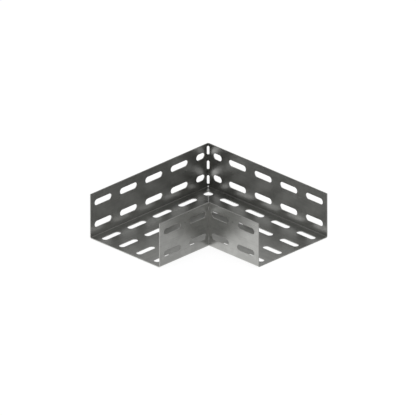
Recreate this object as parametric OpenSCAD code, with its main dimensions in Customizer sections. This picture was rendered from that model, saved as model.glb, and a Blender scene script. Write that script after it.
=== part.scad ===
// Flat 90 degree bend for a perforated cable tray, folded from one steel sheet.
// The outer walls are one strip, folded along a slotted line at the outer corner.
// The base and the inner walls are notched out and meet on the mitre.

/* [Tray] */
// Length of each leg, from the outer corner to its open end
leg_len = 174.5; // [170:0.5:400]
// Width of the tray over its two side walls
tray_w = 102; // [96:0.1:112]
// Height of the side walls above the underside
wall_h = 50.6; // [48:0.1:70]

/* [Sheet] */
// Thickness of the sheet
sheet_t = 0.9; // [0.6:0.05:1.5]
// Inside radius of every fold
fold_r = 1; // [0.5:0.1:2]
// Gap between the two halves of the base along the mitre
mitre_gap = 0.1; // [0.1:0.05:1]
// Diameter of the relief hole where the three folds of the outer corner meet
relief_d = 1; // [0.6:0.1:2]

/* [Slots] */
// Length of a slot, end to end
slot_len = 25; // [15:0.5:28]
// Width of a slot
slot_w = 7; // [4:0.5:9]
// Distance between slot centres along a leg
slot_pitch = 37.5; // [36:0.5:45]
// Distance from the last slot centre to the open end
slot_end_dist = 18.5; // [15:0.1:20]
// Distance between the rows of slots
row_pitch = 25; // [20:0.5:26]
// Height of the lower row in the side walls
wall_row_z = 13.6; // [12:0.1:16]
// Distance of the first row in the base from the outer wall's face
base_row_y = 12.9; // [11:0.1:16]
// Distance of the last row in the base from the inner wall's face
inner_row_y = 13.2; // [11:0.1:16]
// Number of rows in the base
base_rows = 4; // [1:1:4]

/* [Outer corner] */
// Length of the short slots beside the corner
short_slot_len = 12; // [8:0.5:14]
// Distance of the short slots from the corner on the first leg
short_slot_x1 = 12.3; // [11:0.1:17]
// Distance of the short slots from the corner on the second leg
short_slot_x2 = 14.5; // [11:0.1:17]
// Height of each slot in the fold line
fold_slot_len = 10; // [6:0.5:12]
// Width of each slot in the fold line
fold_slot_w = 2.6; // [1:0.1:3]
// Distance between the slot centres in the fold line
fold_slot_pitch = 16.9; // [14:0.1:17]

/* [Hidden] */
$fn = 32;

fold_out_r = fold_r + sheet_t;
wall_rows = [wall_row_z, wall_row_z + row_pitch];
base_row_list = [
    for (j = [0:1:base_rows - 2]) base_row_y + j * row_pitch,
    tray_w - inner_row_y
];
slot_count = floor((leg_len - slot_end_dist) / slot_pitch) + 1;
slot_centres = [for (k = [0:slot_count - 1]) leg_len - slot_end_dist - k * slot_pitch];
// Sheet left between two neighbouring slots or beside the corner
web_min = 3;
// What a cutter reaches past the sheet
over = 1;
// Plan distance between the mitre line and the edge that it leaves on each leg
mitre_step = mitre_gap / sqrt(2);

// A rectangle that stands on its long side, with its two lower corners rounded
module round_bottom(w, h, r) {
    translate([r, 0]) square([w - 2 * r, h]);
    translate([0, r]) square([w, h - r]);
    for (x = [r, w - r]) translate([x, r]) circle(r);
}

// Section across a leg: outer wall, base and inner wall with round folds
module tray_section() {
    difference() {
        round_bottom(tray_w, wall_h, fold_out_r);
        translate([sheet_t, sheet_t])
            round_bottom(tray_w - 2 * sheet_t, wall_h, fold_r);
    }
}

// Plan of one leg on its own side of the mitre, rounded at the outer corner
module leg_plan() {
    difference() {
        polygon([
            [mitre_step, 0],
            [leg_len, 0],
            [leg_len, tray_w],
            [tray_w + mitre_step, tray_w]
        ]);
        difference() {
            square(fold_out_r);
            translate([fold_out_r, fold_out_r]) circle(fold_out_r);
        }
    }
}

// One leg, with X along it from the outer corner and Y across it
module leg() {
    difference() {
        intersection() {
            rotate([90, 0, 90]) linear_extrude(leg_len) tray_section();
            linear_extrude(wall_h) leg_plan();
        }
        inner_wall_end();
    }
}

// Square end of the inner wall, above its fold with the base
module inner_wall_end() {
    translate([0, tray_w - sheet_t - over, fold_out_r])
        cube([tray_w + mitre_step, sheet_t + 2 * over, wall_h]);
}

// Upright fold that joins the outer walls, above the folds of the base
module corner_fold() {
    translate([fold_out_r, fold_out_r, fold_out_r])
        linear_extrude(wall_h - fold_out_r)
            intersection() {
                difference() {
                    circle(fold_out_r);
                    circle(fold_r);
                }
                translate([-fold_out_r, -fold_out_r]) square(fold_out_r);
            }
}

// A slot that lies flat with its length along X
module slot(length, width, depth) {
    linear_extrude(depth, center = true) {
        square([length - width, width], center = true);
        for (x = [-1, 1]) translate([x * (length - width) / 2, 0]) circle(d = width);
    }
}

// A slot through a side wall whose middle plane is at y
module wall_slot(x, y, z, length) {
    translate([x, y, z]) rotate([90, 0, 0]) slot(length, slot_w, sheet_t + 2 * over);
}

// The slots of one leg
module leg_slots(short_slot_x) {
    for (z = wall_rows) {
        wall_slot(short_slot_x, sheet_t / 2, z, short_slot_len);
        for (x = slot_centres) {
            if (x - slot_len / 2 >= short_slot_x + short_slot_len / 2 + web_min)
                wall_slot(x, sheet_t / 2, z, slot_len);
            if (x - slot_len / 2 >= tray_w + web_min)
                wall_slot(x, tray_w - sheet_t / 2, z, slot_len);
        }
    }
    for (y = base_row_list)
        for (x = slot_centres)
            if (x + slot_len / 2 > y + web_min)
                base_slot(x, y);
}

// A slot through the base, cut short where it would cross the mitre
module base_slot(x, y) {
    intersection() {
        translate([x, y, sheet_t / 2]) slot(slot_len, slot_w, sheet_t + 2 * over);
        translate([y, y - slot_w, -over])
            linear_extrude(sheet_t + 2 * over)
                polygon([
                    [-slot_w, 0],
                    [leg_len, 0],
                    [leg_len, 2 * slot_w],
                    [slot_w, 2 * slot_w]
                ]);
    }
}

// The slots that weaken the upright fold
module fold_slots() {
    for (k = [-1:1])
        translate([fold_out_r, fold_out_r, (wall_h + sheet_t) / 2 + k * fold_slot_pitch])
            rotate([90, 90, -45])
                slot(fold_slot_len, fold_slot_w, 4 * fold_out_r);
}

// Relief hole through the outer corner, where the three folds meet
module corner_relief() {
    rotate([0, 90 - atan(1 / sqrt(2)), 45])
        cylinder(h = 4 * fold_out_r, d = relief_d, center = true);
}

module tray_bend() {
    color("darkgray")
        translate([leg_len / 2, leg_len / 2, 0])
            rotate(180)
                difference() {
                    union() {
                        leg();
                        mirror([1, -1, 0]) leg();
                        corner_fold();
                    }
                    leg_slots(short_slot_x1);
                    mirror([1, -1, 0]) leg_slots(short_slot_x2);
                    fold_slots();
                    corner_relief();
                }
}

tray_bend();
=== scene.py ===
"""Perforated cable tray bend, folded from one galvanised steel sheet, on a white studio floor."""

from __future__ import annotations

import logging
import math
from dataclasses import dataclass
from enum import Enum

import bmesh
import bpy
from mathutils import Euler, Matrix, Vector
from mathutils.bvhtree import BVHTree

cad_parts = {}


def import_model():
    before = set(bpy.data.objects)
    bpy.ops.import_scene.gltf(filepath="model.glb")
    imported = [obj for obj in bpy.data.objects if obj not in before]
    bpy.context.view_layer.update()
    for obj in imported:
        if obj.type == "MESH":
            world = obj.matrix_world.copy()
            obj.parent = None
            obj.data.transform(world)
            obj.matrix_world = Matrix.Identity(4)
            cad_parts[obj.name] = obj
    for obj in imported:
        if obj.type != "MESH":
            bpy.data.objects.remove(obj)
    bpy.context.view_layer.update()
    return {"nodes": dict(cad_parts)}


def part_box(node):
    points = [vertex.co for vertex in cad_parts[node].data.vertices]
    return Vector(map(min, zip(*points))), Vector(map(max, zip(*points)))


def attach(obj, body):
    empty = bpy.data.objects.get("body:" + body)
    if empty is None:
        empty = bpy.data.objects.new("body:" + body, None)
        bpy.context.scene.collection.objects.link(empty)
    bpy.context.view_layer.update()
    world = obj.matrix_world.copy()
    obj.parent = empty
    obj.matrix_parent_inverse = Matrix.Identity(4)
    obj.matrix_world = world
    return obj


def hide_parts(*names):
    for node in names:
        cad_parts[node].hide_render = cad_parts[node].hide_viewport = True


LOG = logging.getLogger("tray_bend")
MM = 0.001
SHEET_NODE = "tray_bend"

Triple = tuple[float, float, float]


class Slot(Enum):
    """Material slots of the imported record."""

    SHEET = "sheet"


class SheetSide(Enum):
    """What a face of the sheet is, and its material index."""

    ROLLED = 0
    SHEARED = 1
    # Hollow side of a fold, whose material is dull zinc with painted shade.
    FOLDED = 2


@dataclass(frozen=True)
class PhotoView:
    """The parallel view of the photograph, and where it shows the outer corner.

    Attributes:
        image_px: Width and height of the square image.
        corner_px: Where the outer corner's foot lies in the image, from its top left.
        px_per_m: Scale of the parallel view.
        azimuth: Direction of the view in degrees, as a turn about Z.
        elevation: Height of the camera above the horizon in degrees.
        roll: Turn of the camera about its own axis in degrees.
        distance: Distance of the camera from the point that it looks at.
    """

    image_px: float = 416.0
    corner_px: tuple[float, float] = (208.2, 186.48)
    px_per_m: float = 962.0
    azimuth: float = -45.25
    elevation: float = 25.57
    roll: float = -0.09
    distance: float = 1.5

    def build(self, corner: Vector) -> bpy.types.Object:
        """Makes the camera that shows the part as the photograph does.

        Args:
            corner: Foot of the outer corner, in the row frame.

        Returns:
            The camera's object.
        """
        tilt = Euler((math.pi / 2 - math.radians(self.elevation), 0, math.radians(self.azimuth)))
        turn = tilt.to_matrix() @ Matrix.Rotation(math.radians(self.roll), 3, "Z")
        right, up, back = turn.col[0], turn.col[1], turn.col[2]
        middle = self.image_px / 2
        aside = (self.corner_px[0] - middle) / self.px_per_m
        below = (self.corner_px[1] - middle) / self.px_per_m
        target = corner - right * aside + up * below
        bpy.ops.object.camera_add(location=target + back * self.distance, rotation=turn.to_euler())
        camera = bpy.context.object
        camera.name = "photo_camera"
        camera.data.type = "ORTHO"
        camera.data.ortho_scale = self.image_px / self.px_per_m
        bpy.context.scene.camera = camera
        return camera


class Nodes:
    """A node tree that is written out one node at a time."""

    def __init__(self, tree: bpy.types.NodeTree) -> None:
        """Empties the tree.

        Args:
            tree: Node tree of a material or of the world.
        """
        tree.nodes.clear()
        self.tree = tree

    def add(self, kind: str, settings: dict | None = None, inputs: dict | None = None) -> bpy.types.Node:
        """Adds a node.

        Args:
            kind: Blender's name of the node.
            settings: Values of the node's own settings.
            inputs: For each input, a value or the output that feeds it.

        Returns:
            The new node.
        """
        node = self.tree.nodes.new(kind)
        for name, value in (settings or {}).items():
            setattr(node, name, value)
        for name, value in (inputs or {}).items():
            socket = node.inputs[name]
            if isinstance(value, bpy.types.NodeSocket):
                self.tree.links.new(value, socket)
            else:
                socket.default_value = value
        return node

    def math(self, operation: str, first: object, second: object = 0.0) -> bpy.types.NodeSocket:
        """Adds a Math node.

        Args:
            operation: Blender's name of the operation.
            first: A number or an output.
            second: A number or an output.

        Returns:
            The result.
        """
        return self.add("ShaderNodeMath", {"operation": operation}, {0: first, 1: second}).outputs[0]

    def spread(self, value: object, source: tuple[float, float], target: tuple[float, float], kind: str = "LINEAR") -> bpy.types.NodeSocket:
        """Adds a Map Range node.

        Args:
            value: The output to map.
            source: Lowest and highest value that comes in.
            target: What these become.
            kind: Blender's name of the interpolation.

        Returns:
            The mapped value.
        """
        inputs = {"Value": value, "From Min": source[0], "From Max": source[1], "To Min": target[0], "To Max": target[1]}
        return self.add("ShaderNodeMapRange", {"interpolation_type": kind}, inputs).outputs[0]


def new_material(name: str) -> tuple[bpy.types.Material, Nodes]:
    """Makes an empty node material.

    Args:
        name: Name of the material.

    Returns:
        The material and its nodes.
    """
    material = bpy.data.materials.new(name)
    material.use_nodes = True
    return material, Nodes(material.node_tree)


@dataclass(frozen=True)
class GalvanisedFinish:
    """Zinc coat on rolled sheet: faint spangle, soft clouds, rolling streaks and a few scuffs.

    Attributes:
        name: Name of the material.
        colour: Mean colour of the zinc.
        roughness: Mean roughness.
        spangle: Size of a zinc crystal.
        spangle_depth: How far a crystal is lighter or darker than the mean.
        cloud: Size of the soft clouds in the coat.
        cloud_depth: How far a cloud is lighter or darker than the mean.
        streak: Width of a rolling streak.
        streak_stretch: Length of a streak, in widths.
        streak_depth: How far a streak is lighter or darker than the mean.
        scuff: Width of a scuff.
        relief: Height of the crystals' edges.
    """

    name: str = "galvanised_sheet"
    colour: Triple = (0.4525, 0.4545, 0.437)
    roughness: float = 0.32
    spangle: float = 5.0 * MM
    spangle_depth: float = 0.05
    cloud: float = 45.0 * MM
    cloud_depth: float = 0.05
    streak: float = 1.6 * MM
    streak_stretch: float = 40.0
    streak_depth: float = 0.045
    scuff: float = 0.5 * MM
    relief: float = 0.004 * MM

    def along_leg(self, nodes: Nodes) -> bpy.types.NodeSocket:
        """Adds a place whose X runs along each leg and whose Y runs across it.

        Args:
            nodes: Nodes of the material.

        Returns:
            The place.
        """
        place = nodes.add("ShaderNodeTexCoord").outputs["Object"]
        axes = nodes.add("ShaderNodeSeparateXYZ", inputs={0: place}).outputs
        second_leg = nodes.math("GREATER_THAN", axes["X"], axes["Y"])
        run = nodes.add("ShaderNodeMix", {"data_type": "FLOAT"}, {"Factor": second_leg, "A": axes["X"], "B": axes["Y"]})
        across = nodes.add("ShaderNodeMix", {"data_type": "FLOAT"}, {"Factor": second_leg, "A": axes["Y"], "B": axes["X"]})
        return nodes.add("ShaderNodeCombineXYZ", inputs={"X": run.outputs[0], "Y": across.outputs[0], "Z": axes["Z"]}).outputs[0]

    def crystals(self, nodes: Nodes, place: bpy.types.NodeSocket) -> bpy.types.Node:
        """Adds the spangle: crystals with slightly ragged edges.

        Args:
            nodes: Nodes of the material.
            place: Place on the sheet.

        Returns:
            The Voronoi node.
        """
        ragged = nodes.add("ShaderNodeTexNoise", inputs={"Vector": place, "Scale": 2.0 / self.spangle, "Detail": 2.0})
        shift = nodes.add("ShaderNodeVectorMath", {"operation": "SCALE"}, {0: ragged.outputs["Color"], "Scale": 0.3 * self.spangle})
        spot = nodes.add("ShaderNodeVectorMath", {"operation": "ADD"}, {0: place, 1: shift.outputs[0]})
        return nodes.add("ShaderNodeTexVoronoi", inputs={"Vector": spot.outputs[0], "Scale": 1.0 / self.spangle})

    def streaks(self, nodes: Nodes, place: bpy.types.NodeSocket, width: float, turn: float) -> bpy.types.NodeSocket:
        """Adds a noise that is drawn out along the leg.

        Args:
            nodes: Nodes of the material.
            place: Place on the sheet, with X along the leg.
            width: Width of a streak.
            turn: Angle between the streaks and the leg in degrees.

        Returns:
            The noise, around a half.
        """
        shape = {"Rotation": (math.radians(turn),) * 3, "Scale": (1.0 / self.streak_stretch, 1.0, 1.0)}
        drawn = nodes.add("ShaderNodeMapping", inputs={"Vector": place, **shape})
        return nodes.add("ShaderNodeTexNoise", inputs={"Vector": drawn.outputs[0], "Scale": 1.0 / width, "Detail": 3.0}).outputs[0]

    def build(self) -> bpy.types.Material:
        """Makes the material's nodes.

        Returns:
            The finished material.
        """
        material, nodes = new_material(self.name)
        place = self.along_leg(nodes)
        crystals = self.crystals(nodes, place)
        tones = nodes.add("ShaderNodeSeparateColor", inputs={0: crystals.outputs["Color"]}).outputs
        clouds = nodes.add("ShaderNodeTexNoise", inputs={"Vector": place, "Scale": 1.0 / self.cloud, "Detail": 3.0}).outputs[0]
        streaks = self.streaks(nodes, place, self.streak, 0.0)
        scuffs = nodes.spread(self.streaks(nodes, place, self.scuff, 14.0), (0.66, 0.74), (0.0, 1.0))

        light = nodes.spread(tones["Red"], (0.0, 1.0), (-self.spangle_depth, self.spangle_depth))
        light = nodes.math("ADD", light, nodes.spread(clouds, (0.3, 0.7), (1.0 - self.cloud_depth, 1.0 + self.cloud_depth)))
        light = nodes.math("ADD", light, nodes.spread(streaks, (0.3, 0.7), (-self.streak_depth, self.streak_depth)))
        light = nodes.math("ADD", light, nodes.math("MULTIPLY", scuffs, 0.06))
        colour = nodes.add("ShaderNodeVectorMath", {"operation": "SCALE"}, {0: self.colour, "Scale": light})

        rough = nodes.spread(tones["Green"], (0.0, 1.0), (self.roughness - 0.02, self.roughness + 0.02))
        rough = nodes.math("ADD", rough, nodes.spread(clouds, (0.3, 0.7), (0.015, -0.015)))
        rough = nodes.math("ADD", rough, nodes.math("MULTIPLY", scuffs, -0.08))

        height = nodes.math("ADD", nodes.math("MULTIPLY", crystals.outputs["Distance"], 0.6), nodes.math("MULTIPLY", streaks, 0.8))
        bump = nodes.add("ShaderNodeBump", inputs={"Strength": 1.0, "Distance": self.relief, "Height": height})

        inputs = {"Metallic": 1.0, "Base Color": colour.outputs[0], "Roughness": rough, "Normal": bump.outputs[0]}
        shader = nodes.add("ShaderNodeBsdfPrincipled", inputs=inputs)
        nodes.add("ShaderNodeOutputMaterial", inputs={"Surface": shader.outputs["BSDF"]})
        return material


@dataclass(frozen=True)
class ShearedEdgeFinish:
    """Bare edge that the punch and the shear leave, with fine marks of the cut.

    Attributes:
        name: Name of the material.
        colour: Mean colour of the edge.
        roughness: Mean roughness.
        mark: Distance between the marks.
    """

    name: str = "sheared_edge"
    colour: Triple = (0.48, 0.48, 0.46)
    roughness: float = 0.42
    mark: float = 0.25 * MM

    def build(self) -> bpy.types.Material:
        """Makes the material's nodes.

        Returns:
            The finished material.
        """
        material, nodes = new_material(self.name)
        place = nodes.add("ShaderNodeTexCoord").outputs["Object"]
        marks = nodes.add("ShaderNodeTexNoise", inputs={"Vector": place, "Scale": 1.0 / self.mark, "Detail": 2.0}).outputs[0]
        stains = nodes.add("ShaderNodeTexNoise", inputs={"Vector": place, "Scale": 0.05 / self.mark}).outputs[0]
        light = nodes.math("ADD", nodes.spread(marks, (0.3, 0.7), (0.92, 1.08)), nodes.spread(stains, (0.3, 0.7), (-0.06, 0.06)))
        colour = nodes.add("ShaderNodeVectorMath", {"operation": "SCALE"}, {0: self.colour, "Scale": light})
        rough = nodes.spread(marks, (0.3, 0.7), (self.roughness - 0.06, self.roughness + 0.06))
        inputs = {"Metallic": 1.0, "Base Color": colour.outputs[0], "Roughness": rough}
        shader = nodes.add("ShaderNodeBsdfPrincipled", inputs=inputs)
        nodes.add("ShaderNodeOutputMaterial", inputs={"Surface": shader.outputs["BSDF"]})
        return material


@dataclass(frozen=True)
class Glow:
    """Brightness of one half of the surroundings: level + lean . direction."""

    level: float
    lean: Triple


@dataclass(frozen=True)
class Surroundings:
    """A white studio: bright low down and behind the part, dim above and behind the camera.

    The camera itself sees it as plain white, and so does what is looked at through something clear.

    Attributes:
        ground: Glow of what lies below the horizon.
        sky: Glow of what lies above it.
        blend: Height over which the one turns into the other, as the direction's Z.
    """

    ground: Glow = Glow(0.51, (0.05, 0.345, -0.72))
    sky: Glow = Glow(0.206, (0.158, 0.147, 0.275))
    blend: float = 0.12

    def half(self, nodes: Nodes, direction: bpy.types.NodeSocket, glow: Glow) -> bpy.types.NodeSocket:
        """Adds the nodes of one half.

        Args:
            nodes: Nodes of the world.
            direction: Direction that is looked in.
            glow: Brightness of this half.

        Returns:
            The half's brightness in that direction.
        """
        lean = nodes.add("ShaderNodeVectorMath", {"operation": "DOT_PRODUCT"}, {0: direction, 1: glow.lean})
        return nodes.math("MAXIMUM", nodes.math("ADD", lean.outputs["Value"], glow.level), 0.02)

    def build(self) -> bpy.types.World:
        """Makes the world.

        Returns:
            The world, set on the scene.
        """
        world = bpy.data.worlds.new("studio_world")
        world.use_nodes = True
        nodes = Nodes(world.node_tree)
        direction = nodes.add("ShaderNodeTexCoord").outputs["Generated"]
        height = nodes.add("ShaderNodeSeparateXYZ", inputs={0: direction}).outputs["Z"]
        above = nodes.spread(height, (-self.blend, self.blend), (0.0, 1.0), "SMOOTHSTEP")
        halves = [self.half(nodes, direction, glow) for glow in (self.ground, self.sky)]
        mix = nodes.add("ShaderNodeMix", {"data_type": "FLOAT"}, {"Factor": above, "A": halves[0], "B": halves[1]})
        path = nodes.add("ShaderNodeLightPath")
        seen = nodes.math("MAXIMUM", path.outputs["Is Camera Ray"], path.outputs["Is Transmission Ray"])
        strength = nodes.add("ShaderNodeMix", {"data_type": "FLOAT"}, {"Factor": seen, "A": mix.outputs[0], "B": 1.0})
        background = nodes.add("ShaderNodeBackground", inputs={"Color": (1, 1, 1, 1), "Strength": strength.outputs[0]})
        nodes.add("ShaderNodeOutputWorld", inputs={"Surface": background.outputs[0]})
        bpy.context.scene.world = world
        return world


@dataclass(frozen=True)
class StudioFloor:
    """White floor, which the camera sees as white and which still takes a faint shadow.

    Reflections in the metal look through it at the glow of the studio's ground, which is dimmer below the part: a
    painted shadow, masked by the part's footprint, stands for the light that the part keeps off.

    Attributes:
        size: Length of its sides.
        drop: Gap between the part and the floor.
        colour: How much of the studio's light the floor's paint gives back.
        glow: Even white that the floor shows besides.
        shade: Share of the ground's glow that is left below the part, as a painted shadow.
        reach: Distance of the part's outer sides from the middle.
        inner_corner: X and Y of the part's inner corner.
    """

    size: float = 6.0
    drop: float = 0.0002
    colour: float = 0.25
    glow: float = 0.9
    shade: float = 0.8
    reach: float = 87.25 * MM
    inner_corner: float = -14.75 * MM

    def ground_with_painted_shadow(self, nodes: Nodes) -> bpy.types.NodeSocket:
        """Adds what a reflection meets: a clear floor with a painted shadow, which dims what lies below the part.

        Args:
            nodes: Nodes of the floor's material.

        Returns:
            The clear shader.
        """
        place = nodes.add("ShaderNodeTexCoord").outputs["Object"]
        axes = nodes.add("ShaderNodeSeparateXYZ", inputs={0: place}).outputs
        outward = nodes.math("MAXIMUM", nodes.math("ABSOLUTE", axes["X"]), nodes.math("ABSOLUTE", axes["Y"]))
        # Painted shadow: inside the part's footprint, reflections that meet the floor pass only the shade share of the
        # ground's glow.
        on_legs = nodes.math("GREATER_THAN", nodes.math("MAXIMUM", axes["X"], axes["Y"]), self.inner_corner)
        below = nodes.math("MULTIPLY", nodes.math("LESS_THAN", outward, self.reach), on_legs)
        painted_shadow_share = nodes.spread(below, (0.0, 1.0), (1.0, self.shade))
        return nodes.add("ShaderNodeBsdfTransparent", inputs={"Color": painted_shadow_share}).outputs[0]

    def material(self) -> bpy.types.Material:
        """Makes the floor's material.

        Returns:
            The finished material.
        """
        material, nodes = new_material("studio_floor")
        path = nodes.add("ShaderNodeLightPath")
        seen = nodes.math("MAXIMUM", path.outputs["Is Camera Ray"], path.outputs["Is Transmission Ray"])
        matt = nodes.add("ShaderNodeBsdfDiffuse", inputs={"Color": (self.colour,) * 3 + (1.0,)})
        glow = nodes.add("ShaderNodeEmission", inputs={"Strength": nodes.math("MULTIPLY", seen, self.glow)})
        both = nodes.add("ShaderNodeAddShader", inputs={0: matt.outputs[0], 1: glow.outputs[0]})
        inputs = {0: path.outputs["Is Glossy Ray"], 1: both.outputs[0], 2: self.ground_with_painted_shadow(nodes)}
        surface = nodes.add("ShaderNodeMixShader", inputs=inputs)
        nodes.add("ShaderNodeOutputMaterial", inputs={"Surface": surface.outputs[0]})
        return material

    def build(self) -> bpy.types.Object:
        """Makes the floor.

        Returns:
            The floor's object.
        """
        bpy.ops.mesh.primitive_plane_add(size=self.size, location=(0, 0, -self.drop))
        floor = bpy.context.object
        floor.name = "studio_floor"
        floor.data.materials.append(self.material())
        return floor


@dataclass(frozen=True)
class SoftLamp:
    """A square lamp with a soft edge to its shadows.

    Attributes:
        name: Name of the lamp.
        place: Where it hangs.
        size: Length of its sides.
        power: Power in watts.
    """

    name: str
    place: Triple
    size: float
    power: float

    def build(self) -> bpy.types.Object:
        """Makes the lamp, aimed at the part.

        Returns:
            The lamp's object.
        """
        aim = (-Vector(self.place)).to_track_quat("-Z", "Y").to_euler()
        bpy.ops.object.light_add(type="AREA", location=self.place, rotation=aim)
        lamp = bpy.context.object
        lamp.name = self.name
        lamp.data.shape = "SQUARE"
        lamp.data.size = self.size
        lamp.data.energy = self.power
        return lamp


@dataclass(frozen=True)
class FoldedSheet:
    """The visible sheet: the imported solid's own shape, with smooth folds and eased edges.

    Attributes:
        name: Name of the piece.
        merge: Distance within which the solid's loose corners are one.
        flat_angle: Largest angle between faces that are one flat face.
        thickness: Largest distance through the sheet between its two rolled sides.
        facing: Largest cosine between the directions that the two rolled sides face.
        ease: Radius of the edges that the punch and the shear leave.
        smooth_angle: Largest angle between faces that are shaded as one.
        tilt: Smallest angle between a fold's faces and the flat ones beside it.
        seam: Largest width of the mitre's seam.
    """

    name: str = "folded_sheet"
    merge: float = 0.005 * MM
    flat_angle: float = 1.0
    thickness: float = 1.1 * MM
    facing: float = -0.9
    ease: float = 0.08 * MM
    smooth_angle: float = 20.0
    tilt: float = 2.0
    seam: float = 0.3 * MM
    rolled_finish: GalvanisedFinish = GalvanisedFinish()
    sheared_finish: ShearedEdgeFinish = ShearedEdgeFinish()
    # Hollow side of the folds: rougher for the squeezed, dull coat, and about 30% darker in colour, which is painted
    # shade in the crease.
    fold_dull_coat_and_painted_shade: GalvanisedFinish = GalvanisedFinish(name="folded_zinc_and_painted_shade", colour=(0.32, 0.32, 0.305), roughness=0.46)

    def copy(self, node: bpy.types.Object) -> bpy.types.Object:
        """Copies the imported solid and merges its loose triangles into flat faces.

        Args:
            node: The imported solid.

        Returns:
            The copy, alone and selected.
        """
        node.select_set(True)
        bpy.context.view_layer.objects.active = node
        bpy.ops.object.duplicate()
        sheet = bpy.context.object
        node.select_set(False)
        sheet.name = sheet.data.name = self.name
        sheet.parent = None
        sheet.matrix_world = Matrix.Identity(4)
        sheet.data.materials.clear()
        bpy.ops.object.mode_set(mode="EDIT")
        bpy.ops.mesh.select_all(action="SELECT")
        bpy.ops.mesh.remove_doubles(threshold=self.merge)
        bpy.ops.mesh.dissolve_limited(angle_limit=math.radians(self.flat_angle))
        bpy.ops.object.mode_set(mode="OBJECT")
        return sheet

    def mark_sides(self, sheet: bpy.types.Object) -> int:
        """Tells the rolled sides from the sheared edges by what lies behind each face.

        Close behind a rolled side lies the other one, and it faces the other way.

        Args:
            sheet: The merged copy.

        Returns:
            How many faces are sheared.
        """
        mesh = sheet.data
        mesh.calc_loop_triangles()
        places = [vertex.co for vertex in mesh.vertices]
        depths = BVHTree.FromPolygons(places, [tuple(tri.vertices) for tri in mesh.loop_triangles])
        widest = {}
        for tri in mesh.loop_triangles:
            if tri.area >= widest.get(tri.polygon_index, (-1.0,))[0]:
                widest[tri.polygon_index] = (tri.area, sum((places[i] for i in tri.vertices), Vector()) / 3)
        count = 0
        for face in mesh.polygons:
            start = widest[face.index][1] - face.normal * 0.01 * MM
            met = depths.ray_cast(start, -face.normal, self.thickness)[1]
            sheared = met is None or met.dot(face.normal) > self.facing
            face.material_index = (SheetSide.SHEARED if sheared else SheetSide.ROLLED).value
            count += sheared
        return count

    def mark_folds(self, form: bmesh.types.BMesh) -> None:
        """Marks the hollow side of each fold, where the squeezed coat is dull and where the fold's material adds
        painted shade.

        Args:
            form: The copy's mesh, with its sides marked.
        """
        for edge in form.edges:
            sides = [SheetSide(face.material_index) for face in edge.link_faces]
            if SheetSide.SHEARED in sides or edge.calc_face_angle_signed(0.0) > -math.radians(self.tilt):
                continue
            for face in edge.link_faces:
                if max(abs(part) for part in face.normal) < math.cos(math.radians(self.tilt)):
                    face.material_index = SheetSide.FOLDED.value

    def ease_edges(self, sheet: bpy.types.Object) -> None:
        """Rounds the edges between a rolled side and a sheared edge, except along the mitre's seam.

        Args:
            sheet: The copy with its sides marked.
        """
        bpy.ops.object.mode_set(mode="EDIT")
        bpy.ops.mesh.select_mode(type="EDGE")
        bpy.ops.mesh.select_all(action="DESELECT")
        form = bmesh.from_edit_mesh(sheet.data)
        self.mark_folds(form)
        for edge in form.edges:
            sheared = [face for face in edge.link_faces if face.material_index == SheetSide.SHEARED.value]
            if len(edge.link_faces) == 2 and len(sheared) == 1 and not self.in_seam(sheared[0]):
                edge.select_set(True)
        bmesh.update_edit_mesh(sheet.data)
        bpy.ops.mesh.bevel(offset=self.ease, segments=2, affect="EDGES", clamp_overlap=True)
        bpy.ops.object.mode_set(mode="OBJECT")

    def in_seam(self, face: bmesh.types.BMFace) -> bool:
        """Tells whether a sheared face lies along the mitre, where the two halves of the base meet.

        Args:
            face: A sheared face.

        Returns:
            True where the face looks straight across the mitre.
        """
        normal, place = face.normal, face.calc_center_median()
        across = abs(normal.x + normal.y) < 0.01 and abs(normal.z) < 0.01
        return across and abs(place.x - place.y) < self.seam

    def build(self, node: bpy.types.Object) -> bpy.types.Object:
        """Makes the piece and dresses it.

        Args:
            node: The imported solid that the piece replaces.

        Returns:
            The finished piece.
        """
        sheet = self.copy(node)
        for finish in (self.rolled_finish, self.sheared_finish, self.fold_dull_coat_and_painted_shade):
            sheet.data.materials.append(finish.build())
        sheared = self.mark_sides(sheet)
        self.ease_edges(sheet)
        bpy.ops.object.shade_smooth_by_angle(angle=math.radians(self.smooth_angle))
        even = sheet.modifiers.new("even_flats", "WEIGHTED_NORMAL")
        even.keep_sharp = True
        bpy.ops.object.modifier_apply(modifier=even.name)
        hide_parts(node.name)
        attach(sheet, "root")
        LOG.info("%s: %d faces, %d of them sheared before rounding", sheet.name, len(sheet.data.polygons), sheared)
        return sheet


def main() -> None:
    """Loads the frame, dresses the part and lights it."""
    logging.basicConfig(level=logging.INFO)
    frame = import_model()
    bpy.ops.object.select_all(action="DESELECT")
    bpy.context.scene.view_settings.view_transform = "Standard"

    low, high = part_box(SHEET_NODE)
    PhotoView().build(Vector((high.x, high.y, low.z)))
    bpy.ops.object.select_all(action="DESELECT")
    FoldedSheet().build(frame["nodes"][SHEET_NODE])
    bpy.ops.object.select_all(action="DESELECT")

    Surroundings().build()
    StudioFloor().build()
    SoftLamp("overhead_lamp", (0.0, 0.0, 1.6), 0.8, 4.0).build()


if __name__ == "__main__":
    main()
